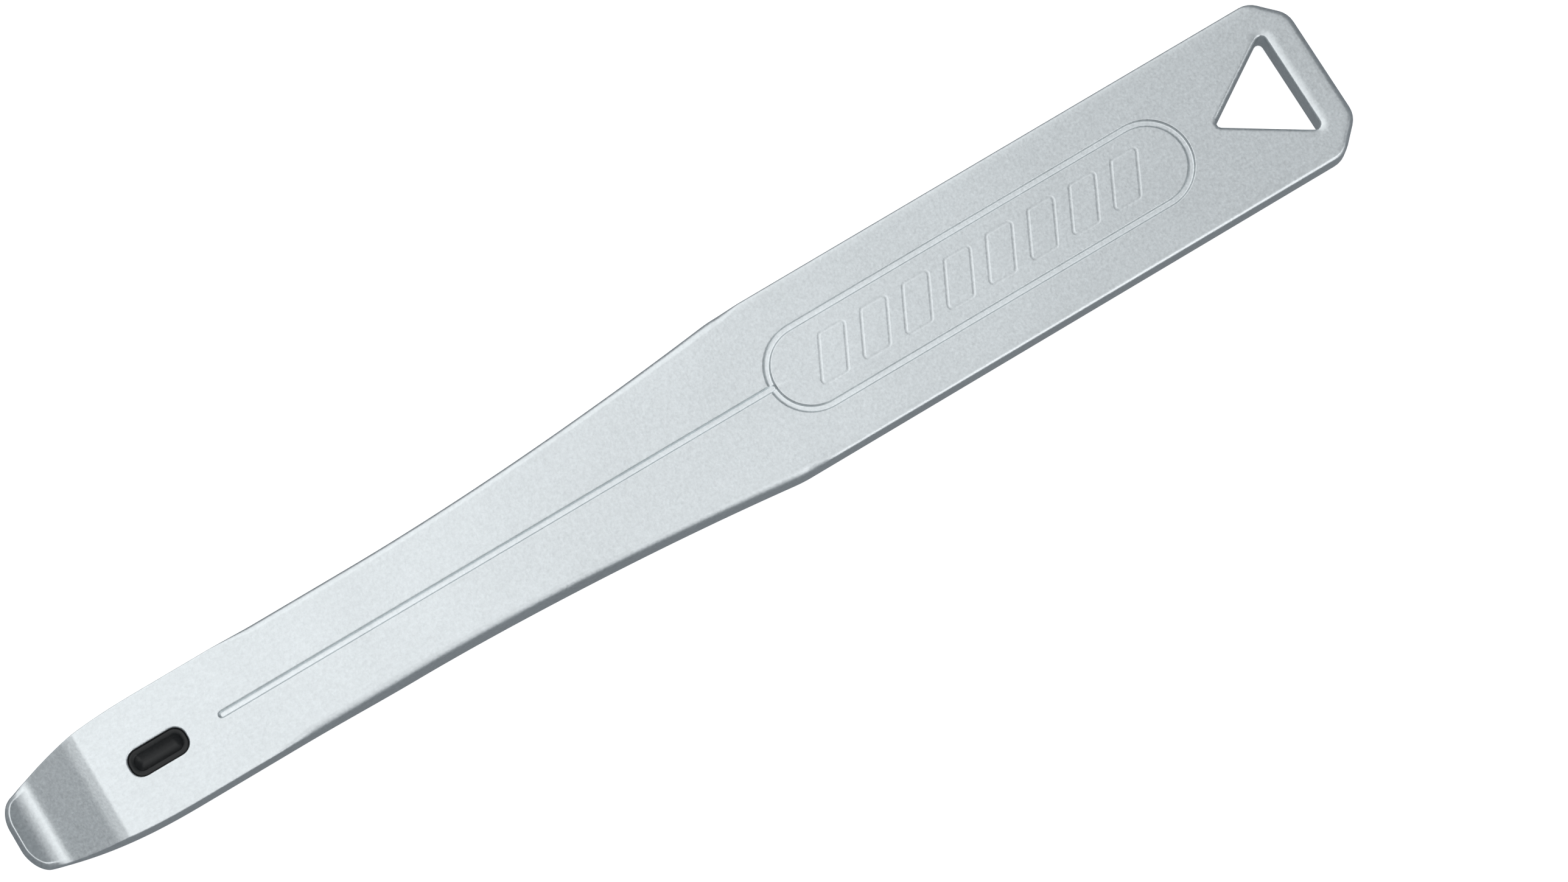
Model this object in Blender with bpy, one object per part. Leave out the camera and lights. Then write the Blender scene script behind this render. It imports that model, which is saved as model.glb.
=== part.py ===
"""Bicycle tyre lever: a one-piece forged aluminium lever with a moulded polymer rim pad.

The lever lies along X, hooked tip at -X and head with its hanging eye at +X, marked face up.
The pad sits in a pocket under the blade, and its lug shows through a slot in the top face.
"""

import math

import bmesh
import bpy
from mathutils import Vector

# Lever, in metres. Stations run along X from the end of the tip to the end of the head.
LENGTH = 0.1513
TOP = 0.0044  # height of the flat top face above the lowest point of the neck
BLADE_HALF_WIDTH = 0.0063
HANDLE_HALF_WIDTH = 0.00925
EDGE_RADIUS = 0.0005
MOST_ROUNDING = 0.45  # an edge's radius is at most this share of the local thickness

# Hooked tip: a band that slopes down, a crease, and a concave scoop that rises to the lip.
TIP_HALF_WIDTH = 0.00357
TIP_CORNER_LENGTH = 0.0016
TIP_CORNER_DEPTH = 0.0024
TIP_TAPER_END = 0.0178
TIP_TAPER_POWER = 2.45
BEND_STATION = 0.0096
CREASE_STATION = 0.0038
CREASE_DROP = 0.0020
LIP_DROP = 0.0010
HEEL_LENGTH = 0.0025  # the underside curves up over this length to the end of the tip
HEEL_RISE = 0.0008

# Neck: the sides flare out on a curve to a corner where the parallel handle starts.
FLARE_START = 0.0418
FLARE_END = 0.0846
FLARE_POWER = 1.8

# Thickness along the lever. The hook's underside is level with the blade's.
BLADE_THICKNESS = 0.0034
NECK_THICKNESS = 0.0044
HANDLE_THICKNESS = 0.0036
BLADE_END = 0.0290
NECK_START = 0.0420
NECK_END = 0.0520
HANDLE_START = 0.0860

# Head.
HEAD_CHAMFER = 0.0030
EYE_APEX = 0.1384
EYE_BASE = 0.1478
EYE_HALF_BASE = 0.0060
EYE_CORNER_RADIUS = 0.0005

# Slot for the pad's lug, and the pocket under it for the pad.
SLOT_CENTRE = 0.01635
SLOT_LENGTH = 0.00635
SLOT_WIDTH = 0.0029
SLOT_CORNER_RADIUS = 0.00125
POCKET_START = 0.0112
POCKET_LENGTH = 0.0172
POCKET_WIDTH = 0.0088
POCKET_DEPTH = 0.0009
POCKET_CORNER_RADIUS = 0.0022

# Engraving on the top face: a closed loop round the grip panel and a line down to the tip.
GROOVE_WIDTH = 0.00075
GROOVE_DEPTH = 0.0003
PANEL_START = 0.08665
PANEL_LENGTH = 0.04835
PANEL_WIDTH = 0.00888
LINE_START = 0.02355
LINE_WIDTH = 0.0006

# Pad.
FIT_GAP = 0.0003
PAD_STAND_PROUD = 0.0008
PAD_EDGE_RADIUS = 0.0004
LUG_BELOW_TOP = 0.00025
DISH_DEPTH = 0.0006
DISH_RIM = 0.00045
DISH_DRAFT = 0.00035

ARC_SEGMENTS = 8
FILLET_SEGMENTS = 3
OVERCUT = 0.002


def clear_scene():
    for obj in list(bpy.data.objects):
        bpy.data.objects.remove(obj, do_unlink=True)


def smooth_step(value, start, end):
    """0 before start, 1 after end, with a soft change between them."""
    share = min(max((value - start) / (end - start), 0.0), 1.0)
    return share * share * (3.0 - 2.0 * share)


def mix(first, second, share):
    return first + (second - first) * share


def half_width(station):
    """Half the lever's width: rounded tip, tapered hook, slim blade, flared neck, handle, head."""
    width = BLADE_HALF_WIDTH
    if station < TIP_TAPER_END:
        share = (TIP_TAPER_END - station) / TIP_TAPER_END
        width -= (BLADE_HALF_WIDTH - TIP_HALF_WIDTH) * share**TIP_TAPER_POWER
    if station < TIP_CORNER_LENGTH:
        share = 1.0 - station / TIP_CORNER_LENGTH
        width -= TIP_CORNER_DEPTH * (1.0 - math.sqrt(1.0 - share * share))
    if station > FLARE_START:
        share = min((station - FLARE_START) / (FLARE_END - FLARE_START), 1.0)
        width += (HANDLE_HALF_WIDTH - BLADE_HALF_WIDTH) * share**FLARE_POWER
    return min(width, HANDLE_HALF_WIDTH + LENGTH - HEAD_CHAMFER - station)


def top_height(station):
    """Height of the top surface: level, then down the sloping band, then up the scoop."""
    if station >= BEND_STATION:
        return TOP
    if station >= CREASE_STATION:
        share = (BEND_STATION - station) / (BEND_STATION - CREASE_STATION)
        return TOP - CREASE_DROP * share
    share = 1.0 - station / CREASE_STATION
    return TOP - mix(CREASE_DROP, LIP_DROP, share**2)


def bottom_height(station):
    """Height of the underside: curved up at the tip, level under the blade, lowest at the neck."""
    depth = mix(BLADE_THICKNESS, NECK_THICKNESS, smooth_step(station, BLADE_END, NECK_START))
    depth = mix(depth, HANDLE_THICKNESS, smooth_step(station, NECK_END, HANDLE_START))
    share = max(1.0 - station / HEEL_LENGTH, 0.0)
    return TOP - depth + HEEL_RISE * (1.0 - math.sqrt(1.0 - share * share))


def stations():
    """Cross-section stations, close together where the shape turns."""
    spans = (
        (0.0, TIP_CORNER_LENGTH, 7),
        (TIP_CORNER_LENGTH, CREASE_STATION, 4),
        (CREASE_STATION, BEND_STATION, 4),
        (BEND_STATION, TIP_TAPER_END, 5),
        (TIP_TAPER_END, BLADE_END, 1),
        (BLADE_END, FLARE_START, 5),
        (FLARE_START, NECK_END, 3),
        (NECK_END, FLARE_END, 12),
        (FLARE_END, HANDLE_START, 1),
        (HANDLE_START, LENGTH - HEAD_CHAMFER, 1),
        (LENGTH - HEAD_CHAMFER, LENGTH - EDGE_RADIUS, 1),
    )
    found = [start + (end - start) * step / steps for start, end, steps in spans for step in range(steps)]
    return found + [LENGTH - EDGE_RADIUS]


def section(station, inset):
    """One closed cross-section as (y, z) points, with its four edges rounded."""
    half = half_width(station) - inset
    top = top_height(station) - inset
    bottom = bottom_height(station) + inset
    radius = min(EDGE_RADIUS, MOST_ROUNDING * (top - bottom))
    points = []
    corners = ((half, bottom, -90.0), (half, top, 0.0), (-half, top, 90.0), (-half, bottom, 180.0))
    for y, z, start_angle in corners:
        centre_y = y - math.copysign(radius, y)
        centre_z = z + radius if z == bottom else z - radius
        for step in range(FILLET_SEGMENTS + 1):
            angle = math.radians(start_angle + 90.0 * step / FILLET_SEGMENTS)
            points.append((centre_y + radius * math.cos(angle), centre_z + radius * math.sin(angle)))
    return points


def rounded_outline(corners, radius):
    """A closed outline with each corner of a convex polygon, listed anticlockwise, turned to an arc."""
    outline = []
    count = len(corners)
    for index, corner in enumerate(corners):
        corner = Vector(corner)
        to_last = (Vector(corners[index - 1]) - corner).normalized()
        to_next = (Vector(corners[(index + 1) % count]) - corner).normalized()
        half_angle = to_last.angle(to_next) / 2.0
        centre = corner + (to_last + to_next).normalized() * radius / math.sin(half_angle)
        start = corner + to_last * radius / math.tan(half_angle) - centre
        sweep = math.pi - 2.0 * half_angle
        for step in range(ARC_SEGMENTS + 1):
            angle = sweep * step / ARC_SEGMENTS
            turned = Vector((
                start.x * math.cos(angle) - start.y * math.sin(angle),
                start.x * math.sin(angle) + start.y * math.cos(angle),
            ))
            outline.append(centre + turned)
    return outline


def slot_outline(centre, length, width, grow=0.0):
    """A straight slot along X with half-round ends, moved outwards by grow."""
    half_run = (length - width) / 2.0
    radius = width / 2.0 + grow
    outline = []
    for side, start_angle in ((1.0, -90.0), (-1.0, 90.0)):
        for step in range(2 * ARC_SEGMENTS + 1):
            angle = math.radians(start_angle + 90.0 * step / ARC_SEGMENTS)
            outline.append(
                Vector((centre + side * half_run + radius * math.cos(angle), radius * math.sin(angle)))
            )
    return outline


def box_outline(start, length, width, radius):
    half = width / 2.0
    corners = ((start, -half), (start + length, -half), (start + length, half), (start, half))
    return rounded_outline(corners, radius)


def lug_outline(inset):
    """The slot's outline, moved inwards by inset."""
    start = SLOT_CENTRE - SLOT_LENGTH / 2.0 + inset
    length = SLOT_LENGTH - 2.0 * inset
    width = SLOT_WIDTH - 2.0 * inset
    return box_outline(start, length, width, SLOT_CORNER_RADIUS - inset)


def add_object(name, mesh_build, parent=None):
    """A new object from a bmesh, with outward faces."""
    bmesh.ops.recalc_face_normals(mesh_build, faces=mesh_build.faces)
    mesh = bpy.data.meshes.new(name)
    mesh_build.to_mesh(mesh)
    mesh_build.free()
    obj = bpy.data.objects.new(name, mesh)
    bpy.context.scene.collection.objects.link(obj)
    obj.parent = parent
    return obj


def bridge_rings(mesh_build, rings, closed_path=False):
    """Skins a row of rings that have the same number of points."""
    pairs = list(zip(rings, rings[1:]))
    if closed_path:
        pairs.append((rings[-1], rings[0]))
    for first, second in pairs:
        count = len(first)
        for index in range(count):
            following = (index + 1) % count
            mesh_build.faces.new((first[index], first[following], second[following], second[index]))
    if not closed_path:
        mesh_build.faces.new(list(reversed(rings[0])))
        mesh_build.faces.new(rings[-1])


def prism(name, layers, parent):
    """A closed solid through (outline, height) layers, lowest first."""
    mesh_build = bmesh.new()
    rings = [[mesh_build.verts.new((p.x, p.y, height)) for p in outline] for outline, height in layers]
    bridge_rings(mesh_build, rings)
    return add_object(name, mesh_build, parent)


def groove_cutter(name, outline, width, parent):
    """A ring-shaped cutter along a closed outline: wide at the face, narrower at the groove's floor."""
    mesh_build = bmesh.new()
    floor = TOP - GROOVE_DEPTH
    above = TOP + GROOVE_DEPTH
    floor_half = width / 4.0
    mouth_half = 3.0 * width / 4.0
    profile = ((-floor_half, floor), (floor_half, floor), (mouth_half, above), (-mouth_half, above))
    rings = []
    count = len(outline)
    for index, point in enumerate(outline):
        along = (outline[(index + 1) % count] - outline[index - 1]).normalized()
        across = Vector((along.y, -along.x))
        ring = []
        for offset, height in profile:
            place = point + across * offset
            ring.append(mesh_build.verts.new((place.x, place.y, height)))
        rings.append(ring)
    bridge_rings(mesh_build, rings, closed_path=True)
    return add_object(name, mesh_build, parent)


def cut(obj, cutter):
    cutter.hide_render = True
    cutter.display_type = "WIRE"
    modifier = obj.modifiers.new("cut " + cutter.name, "BOOLEAN")
    modifier.operation = "DIFFERENCE"
    modifier.solver = "EXACT"
    modifier.object = cutter


def principled(name, colour, metallic, roughness):
    material = bpy.data.materials.new(name)
    material.use_nodes = True
    shader = material.node_tree.nodes["Principled BSDF"]
    shader.inputs["Base Color"].default_value = (*colour, 1.0)
    shader.inputs["Metallic"].default_value = metallic
    shader.inputs["Roughness"].default_value = roughness
    material.diffuse_color = (*colour, 1.0)
    return material


def shade(obj, material):
    obj.data.materials.append(material)
    obj.data.shade_smooth()
    obj.data.set_sharp_from_angle(angle=math.radians(30.0))


def lever_blank(parent):
    """The forged lever before its openings and engraving are cut."""
    mesh_build = bmesh.new()
    places = [(0.0, EDGE_RADIUS / 2.0)]
    places += [(station, 0.0) for station in stations()[1:]]
    places.append((LENGTH, EDGE_RADIUS))
    rings = []
    for station, inset in places:
        rings.append([mesh_build.verts.new((station, y, z)) for y, z in section(station, inset)])
    bridge_rings(mesh_build, rings)
    return add_object("lever_body", mesh_build, parent)


def cut_eye(body, parent):
    corners = ((EYE_APEX, 0.0), (EYE_BASE, -EYE_HALF_BASE), (EYE_BASE, EYE_HALF_BASE))
    outline = rounded_outline(corners, EYE_CORNER_RADIUS)
    cut(body, prism("eye_cutter", ((outline, -OVERCUT), (outline, TOP + OVERCUT)), parent))


def cut_slot_and_pocket(body, parent):
    slot = lug_outline(0.0)
    cut(body, prism("slot_cutter", ((slot, -OVERCUT), (slot, TOP + OVERCUT)), parent))
    pocket = box_outline(POCKET_START, POCKET_LENGTH, POCKET_WIDTH, POCKET_CORNER_RADIUS)
    ceiling = TOP - BLADE_THICKNESS + POCKET_DEPTH
    cut(body, prism("pocket_cutter", ((pocket, -OVERCUT), (pocket, ceiling)), parent))


def cut_engraving(body, parent):
    panel = slot_outline(PANEL_START + PANEL_LENGTH / 2.0, PANEL_LENGTH, PANEL_WIDTH)
    cut(body, groove_cutter("panel_cutter", panel, GROOVE_WIDTH, parent))
    line_length = PANEL_START - LINE_START
    centre = LINE_START + line_length / 2.0
    floor = slot_outline(centre, line_length, LINE_WIDTH, -LINE_WIDTH / 4.0)
    mouth = slot_outline(centre, line_length, LINE_WIDTH, LINE_WIDTH / 4.0)
    layers = ((floor, TOP - GROOVE_DEPTH), (mouth, TOP + GROOVE_DEPTH))
    cut(body, prism("line_cutter", layers, parent))


def rim_pad(parent):
    """The moulded pad: a rounded runner under the blade and a dished lug up through the slot."""
    start = POCKET_START + FIT_GAP
    length = POCKET_LENGTH - 2.0 * FIT_GAP
    width = POCKET_WIDTH - 2.0 * FIT_GAP
    radius = POCKET_CORNER_RADIUS - FIT_GAP
    edge = PAD_EDGE_RADIUS
    sole_height = TOP - BLADE_THICKNESS - PAD_STAND_PROUD
    ceiling = TOP - BLADE_THICKNESS + POCKET_DEPTH - FIT_GAP
    runner = box_outline(start, length, width, radius)
    layers = []
    for step in range(FILLET_SEGMENTS):
        angle = math.radians(90.0 * step / FILLET_SEGMENTS)
        inset = edge * (1.0 - math.sin(angle))
        shrunk = box_outline(start + inset, length - 2.0 * inset, width - 2.0 * inset, radius - inset)
        layers.append((shrunk, sole_height + edge * (1.0 - math.cos(angle))))
    layers.append((runner, sole_height + edge))
    layers.append((runner, ceiling))
    pad = prism("rim_pad", layers, parent)

    lug_top = TOP - LUG_BELOW_TOP
    lug = lug_outline(FIT_GAP)
    lug_root = (sole_height + ceiling) / 2.0
    post = prism("lug_blank", ((lug, lug_root), (lug, lug_top)), parent)
    post.hide_render = True
    post.display_type = "WIRE"
    join = pad.modifiers.new("join lug", "BOOLEAN")
    join.operation = "UNION"
    join.solver = "EXACT"
    join.object = post

    floor = lug_outline(FIT_GAP + DISH_RIM + DISH_DRAFT)
    mouth = lug_outline(FIT_GAP + DISH_RIM)
    layers = ((floor, lug_top - DISH_DEPTH), (mouth, lug_top), (mouth, lug_top + OVERCUT))
    cut(pad, prism("dish_cutter", layers, parent))
    return pad


def main():
    clear_scene()
    lever = bpy.data.objects.new("tyre_lever", None)
    bpy.context.scene.collection.objects.link(lever)
    lever.location.x = -LENGTH / 2.0

    body = lever_blank(lever)
    cut_eye(body, lever)
    cut_slot_and_pocket(body, lever)
    cut_engraving(body, lever)
    shade(body, principled("satin_aluminium", (0.62, 0.66, 0.68), 1.0, 0.42))

    pad = rim_pad(lever)
    shade(pad, principled("black_polymer", (0.012, 0.013, 0.014), 0.0, 0.45))


main()
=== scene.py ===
"""Looks of the tyre lever: the forged lever with its hooked tip and engraving, and the moulded rim pad.

Shapes are worked out in millimetres, in stations that run from the end of the tip (0) to the end of
the head along X, and are written to the meshes in metres, in the frame's own place.
"""

import math

import bpy
import numpy as np
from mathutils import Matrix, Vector, geometry
from mathutils.kdtree import KDTree


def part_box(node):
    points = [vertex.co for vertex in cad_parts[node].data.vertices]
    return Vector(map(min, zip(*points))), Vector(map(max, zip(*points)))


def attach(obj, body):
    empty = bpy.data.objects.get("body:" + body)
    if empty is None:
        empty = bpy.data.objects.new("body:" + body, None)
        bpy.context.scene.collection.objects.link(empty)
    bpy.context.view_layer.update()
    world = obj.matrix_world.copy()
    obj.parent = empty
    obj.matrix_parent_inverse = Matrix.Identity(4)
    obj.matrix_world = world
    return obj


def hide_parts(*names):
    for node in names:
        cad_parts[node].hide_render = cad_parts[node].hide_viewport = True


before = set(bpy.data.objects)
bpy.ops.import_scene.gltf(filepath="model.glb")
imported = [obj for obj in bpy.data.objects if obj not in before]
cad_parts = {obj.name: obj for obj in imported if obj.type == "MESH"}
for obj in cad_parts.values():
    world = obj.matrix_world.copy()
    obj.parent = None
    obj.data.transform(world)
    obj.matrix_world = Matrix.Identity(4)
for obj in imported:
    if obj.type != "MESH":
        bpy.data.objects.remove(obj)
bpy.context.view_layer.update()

MM = 0.001
body_low, body_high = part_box("lever_body")
TIP_X = body_low.x / MM
LENGTH = (body_high.x - body_low.x) / MM
TOP = body_high.z / MM
HANDLE_HALF = body_high.y / MM

# Outline of the lever.
BLADE_HALF = 6.3
TIP_HALF = 3.57
TIP_CORNER_LENGTH = 1.6
TIP_CORNER_DEPTH = 2.4
TAPER_END = 17.8
TAPER_POWER = 2.45
FLARE_START = 41.8
FLARE_END = 84.6
FLARE_POWER = 1.8
FLARE_CORNER_RADIUS = 16.0
HEAD_CHAMFER = 3.0
HEAD_CORNER_RADIUS = 2.5

# Slope of the top surface in degrees, by station; positive falls towards the tip. From the tip: a
# concave scoop, the crease, an even band, and a rounded bend up to the level blade.
TOP_SLOPES = (
    (0.0, -34.0),
    (1.0, -36.0),
    (1.45, -34.0),
    (1.7, -30.0),
    (1.95, -22.5),
    (2.2, -17.0),
    (2.45, -13.5),
    (2.7, -9.5),
    (2.95, -4.5),
    (3.2, -1.0),
    (3.45, 9.5),
    (3.7, 14.0),
    (3.95, 19.5),
    (4.2, 20.3),
    (4.5, 21.2),
    (8.45, 21.2),
    (8.75, 18.5),
    (9.1, 16.0),
    (9.75, 15.5),
    (10.15, 2.0),
    (10.5, 0.0),
)
PROFILE_SAMPLES = 8001

# Lip: a sloping land that runs round the tip just inside its edge.
LIP_SLOPE = 1.6
LIP_LAND = (0.46, 0.64)  # the land ends softly between these distances in from the edge
LIP_FADE = (1.0, 3.4)  # stations over which it fades away along the hook

# Thickness, as in the CAD solids. The hook's underside is level with the blade's up to the heel.
BLADE_THICKNESS = 3.4
NECK_THICKNESS = 4.4
HANDLE_THICKNESS = 3.6
HEEL_LENGTH = 2.5
HEEL_RISE = 0.8
BLADE_END = 29.0
NECK_START = 42.0
NECK_END = 52.0
HANDLE_START = 86.0

# Radius of the top edge by station: rounded lip, crisp blade, soft neck, crisp handle, rounded head.
EDGE_RADII = (
    (0.0, 0.24),
    (5.0, 0.18),
    (8.0, 0.14),
    (26.0, 0.15),
    (30.0, 0.75),
    (70.0, 0.75),
    (85.5, 0.95),
    (88.0, 0.36),
    (147.5, 0.36),
    (149.5, 0.6),
)
EDGE_MARGIN = 0.1
# The handle's top face also falls away a little towards its edges.
SHOULDER_WIDTH = 1.05
SHOULDER_FALL = 0.06
SHOULDER_FROM = (83.0, 88.0)  # stations over which the shoulder fades in
LOWER_EDGE = 0.5
LOWER_EDGE_SHARE = 0.6  # and at most this share of the wall's height

# Openings.
EYE_APEX = 138.4
EYE_BASE = 147.8
EYE_HALF_BASE = 6.0
EYE_RADIUS = 0.5
EYE_LOWER_EDGE = 0.2
EYE_BASE_EDGE = 0.2
EYE_SIDE_EDGE = 0.45
EYE_SHOULDER = (0.95, 0.13)  # width and fall of the soft shoulder along the eye's base
EYE_SHOULDER_FROM = (1.6, 0.2)  # distances from the base over which the shoulder fades in
SLOT_START = 13.175
SLOT_LENGTH = 6.35
SLOT_WIDTH = 2.9
SLOT_RADIUS = 1.25
SLOT_EDGE = 0.18
POCKET_START = 11.2
POCKET_LENGTH = 17.2
POCKET_WIDTH = 8.8
POCKET_DEPTH = 0.9
POCKET_RADIUS = 2.2
POCKET_EDGE = 0.2

# Pad, with its dished lug.
PAD_GAP = 0.06
PAD_PROUD = 0.8
PAD_EDGE = 0.4
LUG_GAP = 0.05
LUG_BELOW = 0.25
LUG_EDGE = 0.12
DISH_RIM = 0.45
DISH_DEPTH = 0.6
DISH_ROUNDING = 0.8
DISH_FLOOR_SHARE = 0.02
DISH_ROWS = 12

# Engraving: (half-width at the face, depth) of each groove, and its rows as shares of the half-width.
PANEL_START = 86.65
PANEL_LENGTH = 48.35
PANEL_WIDTH = 8.88
PANEL_GROOVE = (0.42, 0.24)
LINE_START = 23.55
LINE_GROOVE = (0.43, 0.42)
GROOVE_ROWS = (0.0, 0.25, 0.48, 0.54, 0.6, 0.74, 0.88, 0.94, 1.0, 1.15)
GROOVE_FLOOR = 0.48
GROOVE_ROUNDING = 0.22
NOT_QUITE_ROUND = 1e-6  # keeps the arcs at each end of the panel apart

# Generic row of slanted bars inside the panel.
BAR_COUNT = 8
BAR_PITCH = 4.9
BAR_WIDTH = 3.0
BAR_HEIGHT = 4.75
BAR_SLANT = 1.2
BAR_RADIUS = 0.35
BAR_GROOVE = (0.17, 0.02)
BAR_ROWS = (0.0, 0.5, 1.0, 1.3)

# Mesh density: numbers of steps, and longest edges.
FILLET_STEPS = 8
RUNOUT = (0.15, 0.35, 0.55, 0.8, 1.0)  # rows past the rounding, as shares of the way to the flat face
SHELF = 0.05
TIP_CORNER_STEPS = 12
TAPER_STEPS = 24
FLARE_STEPS = 32
LINE_END_STEPS = 10
HOOK_END = 12.0
HOOK_STEP = 0.18
OUTLINE_STEP = 0.5
EYE_STEP = 0.35
SLOT_STEP = 0.25
POCKET_STEP = 0.4
LUG_STEP = 0.2
PANEL_STEP = 0.35
BAR_STEP = 0.22
LINE_STEP = 0.6

# Lines across the hook, and the filler points on the flat faces.
COLUMN_START = 0.9
COLUMN_PITCH = 0.12
COLUMN_END_TOP = 11.2
COLUMN_END_BELOW = POCKET_START - 0.6
COLUMN_POINTS = 25
COLUMN_HALF = 7.2
COLUMN_CLEARANCE = 0.12
FILLER_START_TOP = 11.6
FILLER_START_BELOW = 10.9
FILLER_STEP = (1.1, 1.2)
FILLER_HALF = 9.9
FILLER_CLEARANCE = 0.45

TINY = 1e-12
FAR = 1e9
BLOCK = 4000  # points handled at once
TRIANGLES_INSIDE = 1
MERGE_DISTANCE = 1e-5
NO_POINTS = np.zeros((0, 2))


def smooth_step(value, start, end):
    share = np.clip((value - start) / (end - start), 0.0, 1.0)
    return share * share * (3.0 - 2.0 * share)


def mix(first, second, share):
    return first + (second - first) * share


PROFILE_STATIONS = np.linspace(0.0, LENGTH, PROFILE_SAMPLES)


def integrate_profile():
    """Height of the top surface at PROFILE_STATIONS, summed from its slopes back from the head."""
    stations, angles = zip(*TOP_SLOPES)
    slope = np.tan(np.radians(np.interp(PROFILE_STATIONS, stations, angles)))
    step = PROFILE_STATIONS[1]
    fall = np.concatenate([np.cumsum(slope[::-1])[::-1][1:], [0.0]]) * step
    return TOP - fall


PROFILE_HEIGHTS = integrate_profile()


def top_height(station):
    return np.interp(station, PROFILE_STATIONS, PROFILE_HEIGHTS)


def bottom_height(station):
    depth = mix(BLADE_THICKNESS, NECK_THICKNESS, smooth_step(station, BLADE_END, NECK_START))
    depth = mix(depth, HANDLE_THICKNESS, smooth_step(station, NECK_END, HANDLE_START))
    share = np.clip(1.0 - station / HEEL_LENGTH, 0.0, 1.0)
    return TOP - depth + HEEL_RISE * (1.0 - np.sqrt(1.0 - share * share))


def edge_radius(station):
    return np.interp(station, *zip(*EDGE_RADII))


def lip_share(station):
    """1 at the tip, where the land is, down to 0 along the hook."""
    return 1.0 - smooth_step(station, *LIP_FADE)


def edge_width(station):
    """How far in from the outline the top face is worked."""
    width = edge_radius(station) + EDGE_MARGIN
    width = np.maximum(width, LIP_LAND[1] * (lip_share(station) > 0.0))
    return np.maximum(width, SHOULDER_WIDTH * smooth_step(station, *SHOULDER_FROM))


def edge_fall(station, distance):
    """How far the top surface has dropped at a distance in from the outline."""
    radius = edge_radius(station)
    inward = np.clip(radius - distance, 0.0, None)
    fall = radius - np.sqrt(np.clip(radius**2 - inward**2, 0.0, None))
    level, end = LIP_LAND
    blend = np.clip(end - distance, 0.0, end - level)
    land = blend**2 / (2.0 * (end - level)) + np.clip(level - distance, 0.0, None)
    fall += LIP_SLOPE * lip_share(station) * land
    shoulder = np.clip(1.0 - distance / SHOULDER_WIDTH, 0.0, 1.0) ** 2
    return fall + SHOULDER_FALL * smooth_step(station, *SHOULDER_FROM) * shoulder


def taper(station):
    share = np.clip((TAPER_END - station) / TAPER_END, 0.0, 1.0)
    return BLADE_HALF - (BLADE_HALF - TIP_HALF) * share**TAPER_POWER


# ---------------------------------------------------------------- outlines


def rounded(corners, longest):
    """A closed outline from (x, y, radius) corners, listed anticlockwise, as an array of points.
    A corner with a radius becomes an arc, and longest(x) is the longest edge allowed there."""
    points = []
    count = len(corners)
    for index, (x, y, radius) in enumerate(corners):
        corner = Vector((x, y))
        if not radius:
            points.append(corner)
            continue
        to_last = (Vector(corners[index - 1][:2]) - corner).normalized()
        to_next = (Vector(corners[(index + 1) % count][:2]) - corner).normalized()
        half_angle = to_last.angle(to_next) / 2.0
        centre = corner + (to_last + to_next).normalized() * radius / math.sin(half_angle)
        start = corner + to_last * radius / math.tan(half_angle) - centre
        turn = math.pi - 2.0 * half_angle
        sweep = math.copysign(turn, to_last.x * to_next.y - to_last.y * to_next.x) * -1.0
        steps = max(2, math.ceil(radius * turn / longest(x)))
        for step in range(steps + 1):
            angle = sweep * step / steps
            cosine, sine = math.cos(angle), math.sin(angle)
            turned = Vector((start.x * cosine - start.y * sine, start.x * sine + start.y * cosine))
            points.append(centre + turned)
    filled = []
    for index, point in enumerate(points):
        following = points[(index + 1) % len(points)]
        steps = max(1, math.ceil((following - point).length / longest(point.x)))
        filled += [point.lerp(following, step / steps) for step in range(steps)]
    return np.array([tuple(p) for p in filled])


def lever_outline():
    tip = []
    for step in range(TIP_CORNER_STEPS + 1):
        angle = math.radians(90.0 * step / TIP_CORNER_STEPS)
        station = TIP_CORNER_LENGTH * (1.0 - math.cos(angle))
        tip.append((station, taper(station) - TIP_CORNER_DEPTH * (1.0 - math.sin(angle)), 0.0))
    blade_stations = np.linspace(TIP_CORNER_LENGTH, TAPER_END, TAPER_STEPS + 1)[1:]
    blade = [(station, taper(station), 0.0) for station in blade_stations]
    flare = []
    for share in np.linspace(0.0, 1.0, FLARE_STEPS + 1):
        station = mix(FLARE_START, FLARE_END, share)
        flare.append((station, BLADE_HALF + (HANDLE_HALF - BLADE_HALF) * share**FLARE_POWER, 0.0))
    flare[-1] = (*flare[-1][:2], FLARE_CORNER_RADIUS)
    head = [
        (LENGTH - HEAD_CHAMFER, HANDLE_HALF, HEAD_CORNER_RADIUS),
        (LENGTH, HANDLE_HALF - HEAD_CHAMFER, HEAD_CORNER_RADIUS),
    ]
    side = tip + blade + flare + head
    lower = [(x, -y, radius) for x, y, radius in side]
    return rounded(lower + side[::-1], lambda x: HOOK_STEP if x < HOOK_END else OUTLINE_STEP)


def box_corners(start, length, width, radius):
    half = width / 2.0
    corners = ((start, -half), (start + length, -half), (start + length, half), (start, half))
    return [(x, y, radius) for x, y in corners]


def normals_of(loop):
    """Inward unit normals of an anticlockwise loop."""
    ahead = np.roll(loop, -1, axis=0) - loop
    ahead /= np.linalg.norm(ahead, axis=1)[:, None] + TINY
    along = ahead + np.roll(ahead, 1, axis=0)
    along /= np.linalg.norm(along, axis=1)[:, None] + TINY
    return np.stack([-along[:, 1], along[:, 0]], axis=1)


def inset(loop, distance):
    """The loop moved inwards by a distance, or by one distance for each point."""
    return loop + normals_of(loop) * np.reshape(distance, (-1, 1))


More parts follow.
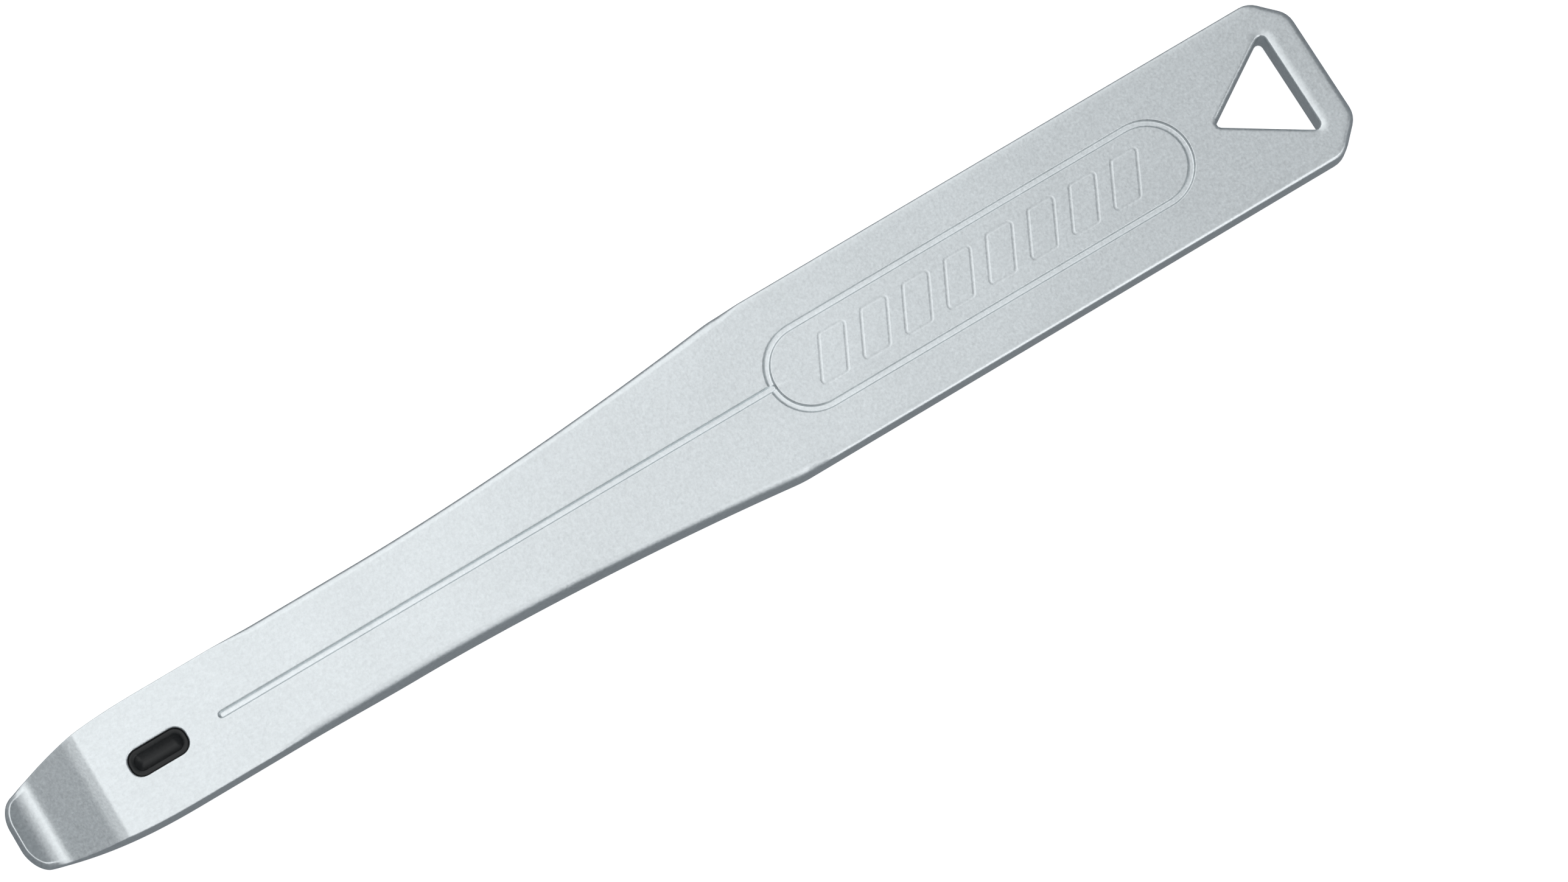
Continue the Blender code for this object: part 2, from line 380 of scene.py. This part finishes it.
def distance_to(points, path, closed):
    """Shortest distance from each point to a polyline."""
    starts = path if closed else path[:-1]
    ends = np.roll(path, -1, axis=0) if closed else path[1:]
    span = ends - starts
    length = np.maximum((span**2).sum(1), TINY)
    best = np.full(len(points), FAR)
    for block in range(0, len(points), BLOCK):
        away = points[block : block + BLOCK, None, :] - starts[None, :, :]
        share = np.clip((away * span).sum(2) / length, 0.0, 1.0)
        gap = away - share[..., None] * span
        best[block : block + BLOCK] = np.sqrt((gap**2).sum(2).min(1))
    return best


# ---------------------------------------------------------------- mesh building


class Shell:
    """A mesh under construction: points, faces and two shading values for each point."""

    def __init__(self):
        self.points = []
        self.faces = []
        self.edge_wear_and_highlight = []
        self.cut = []

    def row(self, flat, heights, edge_wear_and_highlight=0.0, cut=0.0):
        """Adds points and returns their indices."""
        first = len(self.points)
        count = len(flat)
        heights = np.broadcast_to(heights, count)
        self.points += [(x, y, z) for (x, y), z in zip(flat, heights)]
        self.edge_wear_and_highlight += list(np.broadcast_to(edge_wear_and_highlight, count))
        self.cut += list(np.broadcast_to(cut, count))
        return list(range(first, first + count))

    def flat(self, row):
        """The places of a row's points in plan."""
        return np.array([self.points[index][:2] for index in row])

    def strip(self, first, second):
        """Joins two closed rows of the same length."""
        count = len(first)
        for index in range(count):
            following = (index + 1) % count
            self.faces.append((first[index], first[following], second[following], second[index]))

    def chain(self, rows):
        for first, second in zip(rows, rows[1:]):
            self.strip(first, second)

    def fill(self, loops, inner_points, inner_edges, height_of, cut_of=None, faces_up=True):
        """Triangulates inside loops[0] and outside the others, which are rows of this shell. The inner
        points and edges are extra ones, and height_of and cut_of give their heights and shading."""
        flat = []
        owner = []
        edges = []
        for loop in loops:
            first = len(flat)
            flat += [self.points[index][:2] for index in loop]
            owner += loop
            edges += [(first + step, first + (step + 1) % len(loop)) for step in range(len(loop))]
        base = len(flat)
        flat += [tuple(point) for point in inner_points]
        edges += [(base + start, base + end) for start, end in inner_edges]
        boundary = [list(range(len(loops[0])))]
        vectors = [Vector(p) for p in flat]
        found = geometry.delaunay_2d_cdt(vectors, edges, boundary, TRIANGLES_INSIDE, MERGE_DISTANCE)
        verts, _, triangles, origins, _, _ = found
        places = np.array([tuple(v) for v in verts])
        heights = height_of(places)
        cuts = cut_of(places) if cut_of is not None else np.zeros(len(places))
        index_of = []
        for place, height, cut, origin in zip(places, heights, cuts, origins):
            kept = [owner[source] for source in origin if source < base]
            if kept:
                index_of.append(kept[0])
            else:
                index_of += self.row([place], height, cut=cut)
        centres = places[np.array(triangles)].mean(1)
        solid = np.ones(len(centres), bool)
        for loop in loops[1:]:
            solid &= ~inside(centres, self.flat(loop))
        for triangle, keep in zip(triangles, solid):
            if keep:
                corners = [index_of[index] for index in triangle]
                self.faces.append(tuple(corners if faces_up else corners[::-1]))

    def object(self, name):
        """The finished object, placed in the frame, with merged points and outward faces."""
        mesh = bpy.data.meshes.new(name)
        points = (np.array(self.points) + (TIP_X, 0.0, 0.0)) * MM
        mesh.from_pydata([tuple(p) for p in points], [], self.faces)
        # The first attribute marks rounded edges, which the material lightens partly as wear and partly
        # as a painted highlight, and makes a little smoother.
        for title, values in (("edge_wear_and_highlight", self.edge_wear_and_highlight), ("engraved", self.cut)):
            attribute = mesh.attributes.new(title, "FLOAT", "POINT")
            attribute.data.foreach_set("value", np.array(values, np.float32))
        mesh.validate()
        obj = bpy.data.objects.new(name, mesh)
        bpy.context.scene.collection.objects.link(obj)
        mesh.shade_smooth()
        return obj


def inside(points, loop):
    """Whether each point lies inside a closed loop."""
    result = np.zeros(len(points), bool)
    following = np.roll(loop, -1, axis=0)
    for (x0, y0), (x1, y1) in zip(loop, following):
        crosses = (y0 > points[:, 1]) != (y1 > points[:, 1])
        rise = y1 - y0 if y1 != y0 else TINY
        result ^= crosses & (points[:, 0] < (x1 - x0) * (points[:, 1] - y0) / rise + x0)
    return result


def fillet_rows(shell, loop, radius, surface, side, sign=1.0):
    """Rows of a quarter-round edge from the wall to a face, and one row further on, which keeps the face
    flat. side is 1 for an outer edge and -1 for an opening's edge; sign is 1 on the top and -1 below."""
    rows = []
    radius = np.broadcast_to(radius, len(loop))
    for step in range(FILLET_STEPS + 1):
        angle = math.radians(90.0 * step / FILLET_STEPS)
        moved = inset(loop, side * radius * (1.0 - math.cos(angle)))
        drop = radius * (1.0 - math.sin(angle))
        rows.append(shell.row(moved, surface(moved[:, 0]) - sign * drop, edge_wear_and_highlight=math.sin(2.0 * angle)))
    moved = inset(loop, side * (radius + SHELF))
    rows.append(shell.row(moved, surface(moved[:, 0])))
    return rows


def top_edge_rows(shell, outline):
    """Rows of the worked top edge, from the wall to the flat face."""
    station = outline[:, 0]
    radius = edge_radius(station)
    width = edge_width(station)
    rows = []
    for step in range(FILLET_STEPS + 1):
        angle = math.radians(90.0 * step / FILLET_STEPS)
        distance = radius * (1.0 - math.cos(angle))
        moved = inset(outline, distance)
        height = top_height(moved[:, 0]) - edge_fall(station, distance)
        rows.append(shell.row(moved, height, edge_wear_and_highlight=math.sin(2.0 * angle)))
    for share in RUNOUT:
        distance = mix(radius, width, share)
        moved = inset(outline, distance)
        rows.append(shell.row(moved, top_height(moved[:, 0]) - edge_fall(station, distance)))
    moved = inset(outline, width + SHELF)
    rows.append(shell.row(moved, top_height(moved[:, 0])))
    return rows


def eye_rows(shell, eye):
    """Rows of the eye's top edge: a tight rounding, then a soft shoulder up to the flat face."""
    width, fall = EYE_SHOULDER
    start, end = EYE_SHOULDER_FROM
    base = smooth_step(eye[:, 0], EYE_BASE - start, EYE_BASE - end)
    fall = fall * base
    radius = mix(EYE_SIDE_EDGE, EYE_BASE_EDGE, base)
    rows = []
    for step in range(FILLET_STEPS + 1):
        angle = math.radians(90.0 * step / FILLET_STEPS)
        distance = radius * (1.0 - math.cos(angle))
        drop = radius * (1.0 - math.sin(angle)) + fall * (1.0 - distance / width) ** 2
        rows.append(shell.row(inset(eye, -distance), TOP - drop, edge_wear_and_highlight=math.sin(2.0 * angle)))
    for share in RUNOUT:
        distance = mix(radius, width, share)
        rows.append(shell.row(inset(eye, -distance), TOP - fall * (1.0 - distance / width) ** 2))
    rows.append(shell.row(inset(eye, -width - SHELF), TOP))
    return rows


def level(height):
    """The height function of a flat face."""
    return lambda places: np.full(len(places), height)


def lattice(start, stagger):
    """Regular points over the lever from a station to its head."""
    step_x, step_y = FILLER_STEP
    points = []
    for column, x in enumerate(np.arange(start, LENGTH, step_x)):
        shift = step_y / 2.0 if stagger and column % 2 else 0.0
        points += [(x, y + shift) for y in np.arange(-FILLER_HALF, FILLER_HALF, step_y)]
    return np.array(points)


def keep_clear(points, outer, holes, lines, gap):
    """The points that lie inside outer, outside the holes, and at least gap from every given line."""
    points = points[inside(points, outer)]
    for hole in holes:
        points = points[~inside(points, hole)]
    fixed = np.concatenate([outer, *holes, *lines])
    tree = KDTree(len(fixed))
    for index, (x, y) in enumerate(fixed):
        tree.insert((x, y, 0.0), index)
    tree.balance()
    clear = [tree.find((x, y, 0.0))[2] > gap for x, y in points]
    return points[np.array(clear, bool)]


# ---------------------------------------------------------------- engraving


def engraved_paths():
    """(path, closed, (half-width, depth), rows) of every engraved line."""
    round_end = PANEL_WIDTH / 2.0 - NOT_QUITE_ROUND
    corners = box_corners(PANEL_START, PANEL_LENGTH, PANEL_WIDTH, round_end)
    panel = rounded(corners, lambda x: PANEL_STEP)
    count = int((PANEL_START - LINE_START) / LINE_STEP)
    line = np.stack([np.linspace(LINE_START, PANEL_START, count), np.zeros(count)], axis=1)
    paths = [(panel, True, PANEL_GROOVE, GROOVE_ROWS), (line, False, LINE_GROOVE, GROOVE_ROWS)]
    middle = PANEL_START + PANEL_LENGTH / 2.0
    for index in range(BAR_COUNT):
        centre = middle + (index - (BAR_COUNT - 1) / 2.0) * BAR_PITCH
        corners = [
            (centre - BAR_WIDTH / 2.0 - BAR_SLANT, -BAR_HEIGHT / 2.0, BAR_RADIUS),
            (centre + BAR_WIDTH / 2.0 - BAR_SLANT, -BAR_HEIGHT / 2.0, BAR_RADIUS),
            (centre + BAR_WIDTH / 2.0 + BAR_SLANT, BAR_HEIGHT / 2.0, BAR_RADIUS),
            (centre - BAR_WIDTH / 2.0 + BAR_SLANT, BAR_HEIGHT / 2.0, BAR_RADIUS),
        ]
        paths.append((rounded(corners, lambda x: BAR_STEP), True, BAR_GROOVE, BAR_ROWS))
    return paths


PATHS = engraved_paths()


def groove_shape(share):
    """Depth share across a groove: a flat floor and straight flanks, rounded a little at each end."""
    out = np.clip((share - GROOVE_FLOOR) / (1.0 - GROOVE_FLOOR), 0.0, 1.0)
    nearest = np.minimum(out, 1.0 - out)
    bend = np.clip(GROOVE_ROUNDING - nearest, 0.0, None) ** 2 / (2.0 * GROOVE_ROUNDING)
    climb = (nearest - GROOVE_ROUNDING / 2.0 + bend) / (1.0 - GROOVE_ROUNDING)
    return np.where(out < 0.5, 1.0 - climb, climb)


def engraving_depth(points):
    """How deep each point lies in the deepest groove that it is in."""
    depth = np.zeros(len(points))
    for path, closed, (half, deep), _ in PATHS:
        low = path.min(0) - 2.0 * half
        high = path.max(0) + 2.0 * half
        near = ((points > low) & (points < high)).all(1)
        if near.any():
            share = distance_to(points[near], path, closed) / half
            depth[near] = np.maximum(depth[near], deep * groove_shape(share))
    return depth


def engraving_share(points):
    """1 on the floor of the deep grooves, less up their flanks and in the shallow ones."""
    return np.minimum(engraving_depth(points) / PANEL_GROOVE[1], 1.0)


def stadium(path, radius):
    """A loop at a distance round an open straight path."""
    start, end = path[0], path[-1]
    loop = []
    for centre, first in ((end, -90.0), (start, 90.0)):
        for step in range(LINE_END_STEPS + 1):
            angle = math.radians(first + 180.0 * step / LINE_END_STEPS)
            loop.append(centre + radius * np.array((math.cos(angle), math.sin(angle))))
    return rounded([(x, y, 0.0) for x, y in loop], lambda x: LINE_STEP)


def engraving_lines():
    """Points and edges of the rows that run along every engraved line."""
    points = []
    edges = []

    def add(line, closed):
        first = len(points)
        points.extend(tuple(p) for p in line)
        last = len(line) if closed else len(line) - 1
        edges.extend((first + step, first + (step + 1) % len(line)) for step in range(last))

    for path, closed, (half, _), rows in PATHS:
        add(path, closed)
        for share in rows[1:]:
            if closed:
                add(inset(path, half * share), True)
                add(inset(path, -half * share), True)
            else:
                add(stadium(path, half * share), True)
    return np.array(points), edges


# ---------------------------------------------------------------- lever body


def hook_columns(outer, end):
    """Close lines across the hook, where the surface bends, as points and edges."""
    points = []
    edges = []
    for x in np.arange(COLUMN_START, end, COLUMN_PITCH):
        across = np.linspace(-COLUMN_HALF, COLUMN_HALF, COLUMN_POINTS)
        column = np.stack([np.full(COLUMN_POINTS, x), across], axis=1)
        column = keep_clear(column, outer, [], [], COLUMN_CLEARANCE)
        first = len(points)
        points += [tuple(p) for p in column]
        edges += [(first + step, first + step + 1) for step in range(len(column) - 1)]
    return np.array(points), edges


def fill_top(shell, edge, slot, eye):
    """The engraved top face, inside the edge's last row and outside the openings' last rows."""
    outer = shell.flat(edge)
    hook_points, hook_edges = hook_columns(outer, COLUMN_END_TOP)
    line_points, line_edges = engraving_lines()
    holes = [shell.flat(slot), shell.flat(eye)]
    filler = lattice(FILLER_START_TOP, stagger=True)
    filler = keep_clear(filler, outer, holes, [line_points], FILLER_CLEARANCE)
    shift = len(hook_points)
    shell.fill(
        [edge, slot, eye],
        np.concatenate([hook_points, line_points, filler]),
        hook_edges + [(start + shift, end + shift) for start, end in line_edges],
        lambda points: top_height(points[:, 0]) - engraving_depth(points),
        engraving_share,
    )


def fill_underside(shell, edge, pocket, eye):
    """The plain underside, outside the pocket and the eye."""
    outer = shell.flat(edge)
    hook_points, hook_edges = hook_columns(outer, COLUMN_END_BELOW)
    holes = [shell.flat(pocket), shell.flat(eye)]
    filler = lattice(FILLER_START_BELOW, stagger=False)
    filler = keep_clear(filler, outer, holes, [], FILLER_CLEARANCE)
    shell.fill(
        [edge, pocket, eye],
        np.concatenate([hook_points, filler]),
        hook_edges,
        lambda points: bottom_height(points[:, 0]),
        faces_up=False,
    )


def lever_body():
    shell = Shell()
    outline = lever_outline()
    corners = [
        (EYE_APEX, 0.0, EYE_RADIUS),
        (EYE_BASE, -EYE_HALF_BASE, EYE_RADIUS),
        (EYE_BASE, EYE_HALF_BASE, EYE_RADIUS),
    ]
    eye = rounded(corners, lambda x: EYE_STEP)
    corners = box_corners(SLOT_START, SLOT_LENGTH, SLOT_WIDTH, SLOT_RADIUS)
    slot = rounded(corners, lambda x: SLOT_STEP)
    corners = box_corners(POCKET_START, POCKET_LENGTH, POCKET_WIDTH, POCKET_RADIUS)
    pocket = rounded(corners, lambda x: POCKET_STEP)

    top_edge = top_edge_rows(shell, outline)
    wall = np.array([shell.points[index][2] for index in top_edge[0]]) - bottom_height(outline[:, 0])
    low_radius = np.minimum(LOWER_EDGE, LOWER_EDGE_SHARE * wall)
    low_edge = fillet_rows(shell, outline, low_radius, bottom_height, 1.0, sign=-1.0)
    shell.strip(low_edge[0], top_edge[0])
    shell.chain(top_edge)
    shell.chain(low_edge[::-1])

    eye_top = eye_rows(shell, eye)
    eye_low = fillet_rows(shell, eye, EYE_LOWER_EDGE, bottom_height, -1.0, sign=-1.0)
    shell.strip(eye_top[0], eye_low[0])
    shell.chain(eye_top[::-1])
    shell.chain(eye_low)

    slot_top = fillet_rows(shell, slot, SLOT_EDGE, top_height, -1.0)
    ceiling = TOP - BLADE_THICKNESS + POCKET_DEPTH
    slot_low = shell.row(slot, ceiling)
    shell.strip(slot_top[0], slot_low)
    shell.chain(slot_top[::-1])

    pocket_edge = fillet_rows(shell, pocket, POCKET_EDGE, bottom_height, -1.0, sign=-1.0)
    pocket_top = shell.row(pocket, ceiling)
    shell.strip(pocket_top, pocket_edge[0])
    shell.chain(pocket_edge)

    fill_top(shell, top_edge[-1], slot_top[-1], eye_top[-1])
    fill_underside(shell, low_edge[-1], pocket_edge[-1], eye_low[-1])
    shell.fill([pocket_top, slot_low], NO_POINTS, [], level(ceiling), faces_up=False)
    return shell.object("forged_lever")


# ---------------------------------------------------------------- rim pad


def rim_pad():
    shell = Shell()
    start = POCKET_START + PAD_GAP
    length = POCKET_LENGTH - 2.0 * PAD_GAP
    width = 2.0 * (POCKET_WIDTH / 2.0 - PAD_GAP)
    corners = box_corners(start, length, width, POCKET_RADIUS - PAD_GAP)
    runner = rounded(corners, lambda x: POCKET_STEP)
    sole = TOP - BLADE_THICKNESS - PAD_PROUD
    ceiling = TOP - BLADE_THICKNESS + POCKET_DEPTH - PAD_GAP
    low_edge = fillet_rows(shell, runner, PAD_EDGE, level(sole), 1.0, sign=-1.0)
    shoulder = shell.row(runner, ceiling)
    shell.strip(low_edge[0], shoulder)
    shell.chain(low_edge[::-1])

    lug_start = SLOT_START + LUG_GAP
    lug_length = SLOT_LENGTH - 2.0 * LUG_GAP
    lug_half = SLOT_WIDTH / 2.0 - LUG_GAP
    corners = box_corners(lug_start, lug_length, 2.0 * lug_half, SLOT_RADIUS - LUG_GAP)
    lug = rounded(corners, lambda x: LUG_STEP)
    lug_top = TOP - LUG_BELOW
    root = shell.row(lug, ceiling)
    lug_edge = fillet_rows(shell, lug, LUG_EDGE, level(lug_top), 1.0)
    shell.strip(root, lug_edge[0])
    shell.chain(lug_edge)

    spine = np.clip(lug[:, 0], lug_start + lug_half, lug_start + lug_length - lug_half)
    spine = np.stack([spine, np.zeros(len(lug))], axis=1)
    dish = []
    for share in np.linspace(0.0, 1.0, DISH_ROWS):
        reach = mix(1.0 - DISH_RIM / lug_half, DISH_FLOOR_SHARE, share)
        fall = DISH_DEPTH * math.sin(math.radians(90.0 * share)) ** DISH_ROUNDING
        dish.append(shell.row(spine + (lug - spine) * reach, lug_top - fall))
    shell.strip(lug_edge[-1], dish[0])
    shell.chain(dish)

    shell.fill([low_edge[-1]], NO_POINTS, [], level(sole), faces_up=False)
    shell.fill([shoulder, root], NO_POINTS, [], level(ceiling))
    shell.fill([dish[-1]], NO_POINTS, [], level(lug_top - DISH_DEPTH))
    return shell.object("moulded_pad")


# ---------------------------------------------------------------- materials

# Aluminium: noise scales per metre, tone shifts, and (strength, distance) of the bump.
GRAIN_SCALE = 3600.0
FLECK_SCALE = 2200.0
METAL_DRIFT_SCALE = 90.0
METAL_TONE = 0.78
METAL_TINT = (0.955, 1.0, 1.012)
# Rounded edges are lightened partly as wear and partly as a painted highlight.
EDGE_WEAR_AND_HIGHLIGHT_LIGHTER = 0.05
WORN_SMOOTHER = 0.04
# Painted shade along the flanks of the grooves.
FLANK_PAINTED_SHADE = 0.15
FLOOR_LIGHTER = 0.09
METAL_BUMP = (0.35, 0.00004)

# Polymer.
MOULD_SCALE = 4200.0
POLYMER_DRIFT_SCALE = 400.0
POLYMER_TINT = (0.92, 1.0, 1.05)
POLYMER_IOR = 1.4
POLYMER_BUMP = (0.3, 0.00003)

# Floor.
PAPER_SCALE = 40.0
PAPER_ROUGHNESS = 0.9
PAPER_GLOW = 0.85
PAPER_SPECULAR = 0.1


class Nodes:
    """Short calls for building a material's node tree."""

    def __init__(self, name):
        self.material = bpy.data.materials.new(name)
        self.material.use_nodes = True
        self.tree = self.material.node_tree
        self.shader = self.tree.nodes["Principled BSDF"]

    def add(self, kind, inputs=None, **settings):
        node = self.tree.nodes.new(kind)
        for key, value in settings.items():
            setattr(node, key, value)
        for key, value in (inputs or {}).items():
            if isinstance(value, bpy.types.NodeSocket):
                self.tree.links.new(value, node.inputs[key])
            else:
                node.inputs[key].default_value = value
        return node

    def link(self, socket, name):
        self.tree.links.new(socket, self.shader.inputs[name])

    def maths(self, operation, first, second):
        return self.add("ShaderNodeMath", {0: first, 1: second}, operation=operation).outputs[0]

    def total(self, first, *others):
        for other in others:
            first = self.maths("ADD", first, other)
        return first

    def tinted(self, tone, tint):
        """A colour from a tone and a factor for each channel."""
        inputs = {0: tone, 1: tint}
        return self.add("ShaderNodeVectorMath", inputs, operation="MULTIPLY").outputs[0]

    def ramp(self, value, low, high, start=0.0, end=1.0):
        """Maps start..end of a value to low..high."""
        inputs = {"Value": value, "From Min": start, "From Max": end, "To Min": low, "To Max": high}
        return self.add("ShaderNodeMapRange", inputs).outputs["Result"]

    def noise(self, place, scale, detail=2.0, roughness=0.5):
        inputs = {"Vector": place, "Scale": scale, "Detail": detail, "Roughness": roughness}
        return self.add("ShaderNodeTexNoise", inputs).outputs["Fac"]

    def attribute(self, name):
        return self.add("ShaderNodeAttribute", attribute_name=name).outputs["Fac"]

    def bump(self, height, strength, distance):
        inputs = {"Height": height, "Strength": strength, "Distance": distance}
        self.link(self.add("ShaderNodeBump", inputs).outputs["Normal"], "Normal")


def satin_aluminium():
    """Bead-blasted aluminium: a fine grain, soft tone drift, edges lightened partly by wear and partly as
    a painted highlight, and painted shade on the flanks of the grooves.
    """
    nodes = Nodes("satin_aluminium")
    place = nodes.add("ShaderNodeTexCoord").outputs["Object"]
    grain = nodes.noise(place, GRAIN_SCALE, detail=3.0, roughness=0.6)
    fleck = nodes.noise(place, FLECK_SCALE, detail=1.0)
    drift = nodes.noise(place, METAL_DRIFT_SCALE)
    edge_wear_and_highlight = nodes.attribute("edge_wear_and_highlight")
    engraved = nodes.attribute("engraved")
    # painted shade: strongest partway down each groove's flanks, and faint over the shallow bars
    painted_flank_shade = nodes.maths("MULTIPLY", engraved, nodes.maths("SUBTRACT", 1.0, engraved))
    tone = nodes.total(
        nodes.ramp(grain, -0.08, 0.08, 0.25, 0.75),
        nodes.ramp(drift, -0.02, 0.02, 0.3, 0.7),
        nodes.ramp(fleck, -0.025, 0.025, 0.3, 0.7),
        # painted highlight and wear: rounded edges lighter
        nodes.ramp(edge_wear_and_highlight, 0.0, EDGE_WEAR_AND_HIGHLIGHT_LIGHTER),
        nodes.ramp(painted_flank_shade, 0.0, -FLANK_PAINTED_SHADE, 0.0, 0.25),
        nodes.ramp(engraved, 0.0, FLOOR_LIGHTER, 0.6, 1.0),
        METAL_TONE,
    )
    nodes.link(nodes.tinted(tone, METAL_TINT), "Base Color")
    rough = nodes.total(nodes.ramp(grain, 0.38, 0.48, 0.25, 0.75), nodes.ramp(edge_wear_and_highlight, 0.0, -WORN_SMOOTHER))
    nodes.link(rough, "Roughness")
    height = nodes.total(nodes.maths("MULTIPLY", grain, 0.7), nodes.maths("MULTIPLY", fleck, 0.5))
    nodes.bump(height, *METAL_BUMP)
    nodes.shader.inputs["Metallic"].default_value = 1.0
    return nodes.material


def black_polymer():
    """Moulded black nylon: faint mould texture and a dull sheen."""
    nodes = Nodes("black_polymer")
    place = nodes.add("ShaderNodeTexCoord").outputs["Object"]
    mould = nodes.noise(place, MOULD_SCALE)
    drift = nodes.noise(place, POLYMER_DRIFT_SCALE)
    tone = nodes.total(nodes.ramp(mould, 0.008, 0.014, 0.3, 0.7), nodes.ramp(drift, 0.0, 0.004, 0.3, 0.7))
    nodes.link(nodes.tinted(tone, POLYMER_TINT), "Base Color")
    nodes.link(nodes.ramp(mould, 0.34, 0.46, 0.3, 0.7), "Roughness")
    nodes.bump(mould, *POLYMER_BUMP)
    nodes.shader.inputs["IOR"].default_value = POLYMER_IOR
    return nodes.material


def paper_floor():
    nodes = Nodes("pale_floor")
    place = nodes.add("ShaderNodeTexCoord").outputs["Object"]
    tone = nodes.ramp(nodes.noise(place, PAPER_SCALE), 0.895, 0.905, 0.3, 0.7)
    nodes.link(tone, "Base Color")
    nodes.link(tone, "Emission Color")
    nodes.shader.inputs["Roughness"].default_value = PAPER_ROUGHNESS
    nodes.shader.inputs["Emission Strength"].default_value = PAPER_GLOW
    nodes.shader.inputs["Specular IOR Level"].default_value = PAPER_SPECULAR
    return nodes.material


# ---------------------------------------------------------------- stage

# Floor and lights in metres; the camera's target, distance, lens and sensor in millimetres.
FLOOR_HALF = 1.5
FLOOR_DROP = 0.0001  # the floor lies this far under the lever
SOFTBOXES = (  # name, place, width, height, watts
    ("key", (-0.108, 0.624, 0.489), 0.903, 1.244, 3.293),
    ("fill", (0.181, -0.686, 0.369), 0.233, 0.824, 1.127),
    ("top", (-0.130, -0.060, 0.783), 0.897, 0.659, 1.560),
    ("kicker", (0.414, -0.414, 0.546), 0.22, 0.30, 0.50),
)
WORLD_TINT = (0.86, 0.93, 1.0, 1.0)
WORLD_STRENGTH = 0.235
LENS = 115.97
SENSOR_WIDTH = 36.0
CLIP_START = 0.01
CLIP_END = 10.0
CAMERA_TARGET = (9.12, -5.20, 4.4)
CAMERA_DISTANCE = 500.3
CAMERA_AZIMUTH = -31.28
CAMERA_ELEVATION = 77.87


def stage():
    mesh = bpy.data.meshes.new("floor")
    signs = ((-1.0, -1.0), (1.0, -1.0), (1.0, 1.0), (-1.0, 1.0))
    corners = [(x * FLOOR_HALF, y * FLOOR_HALF, 0.0) for x, y in signs]
    mesh.from_pydata(corners, [], [(0, 1, 2, 3)])
    floor = bpy.data.objects.new("floor", mesh)
    bpy.context.scene.collection.objects.link(floor)
    floor.location.z = body_low.z - FLOOR_DROP
    floor.data.materials.append(paper_floor())
    floor.visible_glossy = False


def softbox(name, place, width, height, power):
    """A rectangular light that faces the lever."""
    light = bpy.data.lights.new(name, "AREA")
    light.shape = "RECTANGLE"
    light.size = width
    light.size_y = height
    light.energy = power
    obj = bpy.data.objects.new(name, light)
    bpy.context.scene.collection.objects.link(obj)
    obj.location = place
    obj.rotation_euler = (-Vector(place)).to_track_quat("-Z", "Y").to_euler()


def lighting():
    for settings in SOFTBOXES:
        softbox(*settings)
    world = bpy.data.worlds.new("studio")
    world.use_nodes = True
    background = world.node_tree.nodes["Background"]
    background.inputs["Color"].default_value = WORLD_TINT
    background.inputs["Strength"].default_value = WORLD_STRENGTH
    bpy.context.scene.world = world
    bpy.context.scene.view_settings.view_transform = "Standard"


def camera():
    data = bpy.data.cameras.new("camera")
    data.lens = LENS
    data.sensor_width = SENSOR_WIDTH
    data.clip_start = CLIP_START
    data.clip_end = CLIP_END
    obj = bpy.data.objects.new("camera", data)
    bpy.context.scene.collection.objects.link(obj)
    azimuth = math.radians(CAMERA_AZIMUTH)
    elevation = math.radians(CAMERA_ELEVATION)
    level_share = math.cos(elevation)
    back = Vector((
        math.sin(azimuth) * level_share,
        -math.cos(azimuth) * level_share,
        math.sin(elevation),
    ))
    obj.location = (Vector(CAMERA_TARGET) + back * CAMERA_DISTANCE) * MM
    obj.rotation_euler = (-back).to_track_quat("-Z", "Y").to_euler()
    bpy.context.scene.camera = obj


def dress(piece, node, material):
    """Gives a piece its material, puts it under the root body and hides the CAD node that it stands in
    for.
    """
    piece.data.materials.append(material)
    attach(piece, "root")
    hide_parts(node)


dress(lever_body(), "lever_body", satin_aluminium())
dress(rim_pad(), "rim_pad", black_polymer())
stage()
lighting()
camera()
